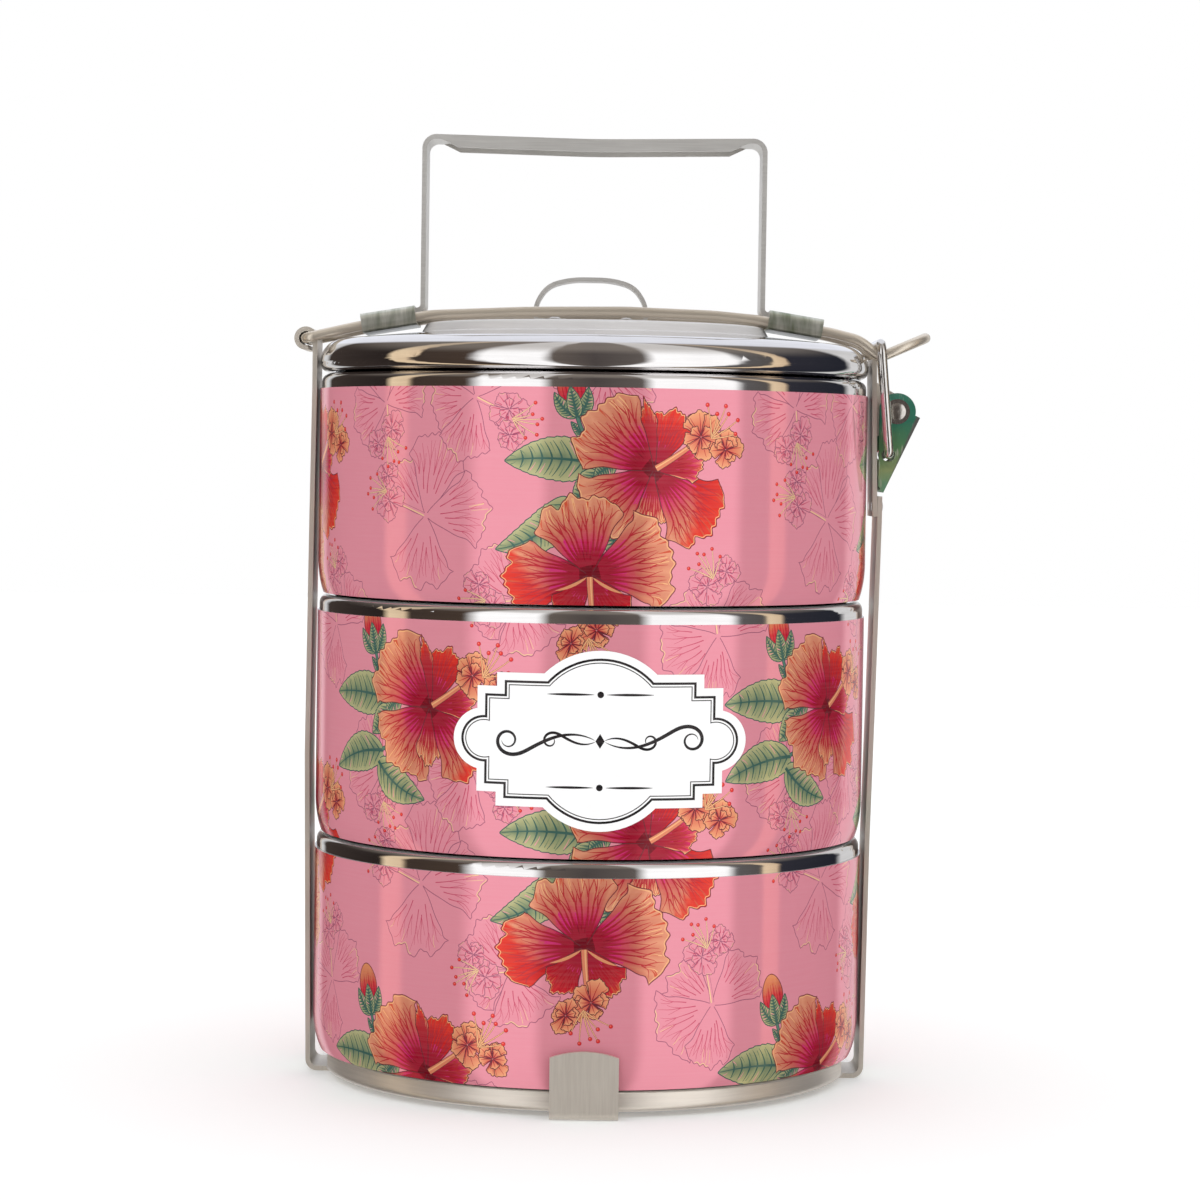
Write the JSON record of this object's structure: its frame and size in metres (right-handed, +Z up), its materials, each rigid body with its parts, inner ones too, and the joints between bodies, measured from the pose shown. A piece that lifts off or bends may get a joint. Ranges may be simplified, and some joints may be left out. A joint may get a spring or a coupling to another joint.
{
  "type": "tiffin carrier",
  "caption": "Stacked round steel food carrier: nesting bowls with printed walls, domed lid, base ring and straps, hinged wire bail with strip handle, lever and link latch.",
  "frame": {"origin": "centre of the base on the floor, on the bowls' common axis", "axes": "+Z up along the bowls' axis, +X towards the lever latch, -Y towards the labelled front"},
  "size_m": [0.162, 0.143, 0.2388],
  "materials": {
    "polished_steel": "mirror polished",
    "satin_steel": "satin",
    "wire_steel": "drawn wire",
    "handle_steel": "satin",
    "clip_steel": "crimped sheet",
    "rivet_steel": "polished",
    "lever_plated": "chromate plated",
    "printed_film": "glossy print",
    "label_film": "glossy"
  },
  "bodies": {
    "frame": {"side_strap": "satin_steel", "cross_strap": "satin_steel", "base_ring": "satin_steel", "base_rivets": "rivet_steel", "latch_bracket": "satin_steel", "bracket_rivets": "rivet_steel", "lever_pivot": "rivet_steel"},
    "bowl_bottom": {"bowl_bottom": "polished_steel", "wrap_bottom": "printed_film"},
    "bowl_middle": {"bowl_middle": "polished_steel", "wrap_middle": "printed_film", "name_label": "label_film"},
    "bowl_top": {"bowl_top": "polished_steel", "wrap_top": "printed_film"},
    "lid": {"lid": "polished_steel", "lid_handle": "handle_steel", "lid_handle_rivets": "rivet_steel"},
    "bail": {"bail_wire": "wire_steel", "handle": "handle_steel", "clip_left": "clip_steel", "clip_right": "clip_steel"},
    "link": {"latch_link": "wire_steel"},
    "lever": {"lever": "lever_plated"}
  },
  "joints": [
    {"name": "bail_open", "type": "hinge", "parent": "frame", "child": "bail", "pos_m": [-0.0733, 0, 0.1868], "axis": [0, -1, 0], "range_deg": [0, 185]},
    {"name": "link_swing", "type": "hinge", "parent": "bail", "child": "link", "pos_m": [0.0723, 0, 0.1875], "axis": [0, -1, 0], "range_deg": [0, 60]},
    {"name": "lever_open", "type": "hinge", "parent": "frame", "child": "lever", "pos_m": [0.077, 0, 0.1704], "axis": [0, -1, 0], "range_deg": [0, 110]},
    {"name": "bottom_bowl_lift", "type": "slide", "parent": "frame", "child": "bowl_bottom", "axis": [0, 0, 1], "range_m": [0, 0.00647]},
    {"name": "middle_bowl_lift", "type": "slide", "parent": "frame", "child": "bowl_middle", "axis": [0, 0, 1], "range_m": [0, 0.01293]},
    {"name": "top_bowl_lift", "type": "slide", "parent": "frame", "child": "bowl_top", "axis": [0, 0, 1], "range_m": [0, 0.01938]},
    {"name": "lid_lift", "type": "slide", "parent": "frame", "child": "lid", "axis": [0, 0, 1], "range_m": [0, 0.02584]}
  ],
  "couplings": [
    {"joint": "bottom_bowl_lift", "follows": "bail_open", "m_per_rad": 0.002},
    {"joint": "middle_bowl_lift", "follows": "bail_open", "m_per_rad": 0.004},
    {"joint": "top_bowl_lift", "follows": "bail_open", "m_per_rad": 0.006},
    {"joint": "lid_lift", "follows": "bail_open", "m_per_rad": 0.008}
  ]
}
